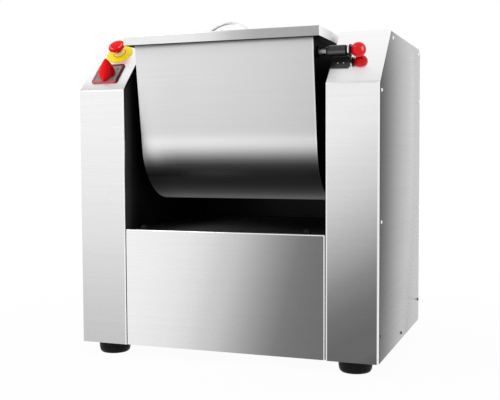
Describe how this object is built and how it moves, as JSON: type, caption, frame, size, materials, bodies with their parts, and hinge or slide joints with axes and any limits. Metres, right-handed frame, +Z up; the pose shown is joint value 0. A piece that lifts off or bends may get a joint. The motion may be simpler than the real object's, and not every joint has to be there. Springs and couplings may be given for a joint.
{
  "type": "dough mixer",
  "caption": "Dough mixer with a horizontal stirrer in a tilting trough between two column housings, hinged lid, pull-pin latch, rotary switch and stop button.",
  "frame": {"origin": "on the floor under the middle of the machine's box", "axes": "+X to the right seen from the front, +Y to the back, +Z up"},
  "size_m": [0.704, 0.525, 0.757],
  "materials": {
    "black_plate": "black satin paint",
    "stainless": "horizontal brushed grain",
    "bright_steel": "polished",
    "steel_parts": "machined",
    "black_casting": "black painted casting",
    "bronze": "turned bronze",
    "rubber": "matt black rubber",
    "motor_paint": "blue grey enamel",
    "black_plastic": "moulded, satin",
    "red_plastic": "glossy red",
    "yellow_plastic": "glossy yellow"
  },
  "bodies": {
    "frame": {"left_side_plate": "black_plate", "right_side_plate": "black_plate", "left_column_skin": "stainless", "right_column_skin": "stainless", "left_side_cover": "stainless", "right_side_cover": "stainless", "side_cover_screws": "bright_steel", "front_panel": "stainless", "rear_panel": "stainless", "deck_tray": "black_plate", "base_rail_front": "black_plate", "base_rail_rear": "black_plate", "left_base_tray": "black_plate", "right_base_tray": "black_plate", "rubber_feet": "rubber", "drum_stops": "rubber", "left_bearing_housing": "black_casting", "right_bearing_housing": "black_casting", "shaft_bearings": "steel_parts", "plate_bolts": "steel_parts", "motor_body": "motor_paint", "motor_fan_cover": "motor_paint", "motor_terminal_box": "motor_paint", "gearbox_plate": "steel_parts", "spacer_posts": "steel_parts", "countershaft_bearings": "steel_parts", "drive_belt": "rubber", "latch_housing": "black_plastic", "switch_plate": "red_plastic", "switch_body": "black_plastic", "estop_ring": "yellow_plastic", "estop_body": "black_plastic", "cable_gland": "black_plastic"},
    "drum": {"drum_shell": "stainless", "drum_end_left": "black_casting", "drum_end_right": "black_casting", "drum_bushes": "bronze", "shaft_seals": "rubber", "latch_bush": "bright_steel", "lid_hinge_brackets": "bright_steel", "lid_hinge_pins": "bright_steel"},
    "lid": {"lid_panel": "stainless", "lid_handle": "bright_steel", "lid_hinge_straps": "bright_steel"},
    "agitator": {"agitator_shaft": "bright_steel", "mixing_paddles": "bright_steel", "main_gear": "steel_parts"},
    "slow_countershaft": {"slow_pinion_shaft": "steel_parts", "slow_gear": "steel_parts"},
    "fast_countershaft": {"fast_pinion_shaft": "steel_parts", "large_pulley": "black_casting"},
    "motor_rotor": {"motor_shaft": "steel_parts", "motor_pulley": "black_casting"},
    "latch": {"latch_pin": "bright_steel", "latch_collar": "black_plastic", "latch_ball": "red_plastic"},
    "switch": {"switch_knob": "red_plastic"},
    "stop_plunger": {"estop_plunger": "black_plastic"},
    "stop_head": {"estop_head": "red_plastic"}
  },
  "joints": [
    {"name": "drum_tilt", "type": "hinge", "parent": "frame", "child": "drum", "pos_m": [0, -0.0775, 0.495], "axis": [1, 0, 0], "range_deg": [0, 98]},
    {"name": "lid_hinge", "type": "hinge", "parent": "drum", "child": "lid", "pos_m": [0, 0.09841, 0.72], "axis": [-1, 0, 0], "range_deg": [0, 100]},
    {"name": "agitator_spin", "type": "hinge", "parent": "frame", "child": "agitator", "pos_m": [0, -0.0775, 0.495], "axis": [1, 0, 0], "continuous": true},
    {"name": "slow_spin", "type": "hinge", "parent": "frame", "child": "slow_countershaft", "pos_m": [0, -0.00519, 0.40882], "axis": [1, 0, 0], "continuous": true},
    {"name": "fast_spin", "type": "hinge", "parent": "frame", "child": "fast_countershaft", "pos_m": [0, 0.07348, 0.33015], "axis": [1, 0, 0], "continuous": true},
    {"name": "motor_spin", "type": "hinge", "parent": "frame", "child": "motor_rotor", "pos_m": [0, 0.06, 0.153], "axis": [1, 0, 0], "continuous": true},
    {"name": "latch_slide", "type": "slide", "parent": "frame", "child": "latch", "axis": [-1, 0, 0], "range_m": [0, 0.007]},
    {"name": "switch_turn", "type": "hinge", "parent": "frame", "child": "switch", "pos_m": [-0.2925, -0.21002, 0.64748], "axis": [0, 0.7071, -0.7071], "range_deg": [0, 90]},
    {"name": "stop_press", "type": "slide", "parent": "frame", "child": "stop_plunger", "axis": [0, 0.7071, -0.7071], "range_m": [0, 0.005]},
    {"name": "stop_twist", "type": "hinge", "parent": "stop_plunger", "child": "stop_head", "pos_m": [-0.2935, -0.15487, 0.70263], "axis": [0, 0.7071, -0.7071], "range_deg": [0, 45]}
  ],
  "couplings": [
    {"joint": "slow_spin", "follows": "agitator_spin", "ratio": -4},
    {"joint": "fast_spin", "follows": "agitator_spin", "ratio": 16.941},
    {"joint": "motor_spin", "follows": "agitator_spin", "ratio": 41.143}
  ]
}
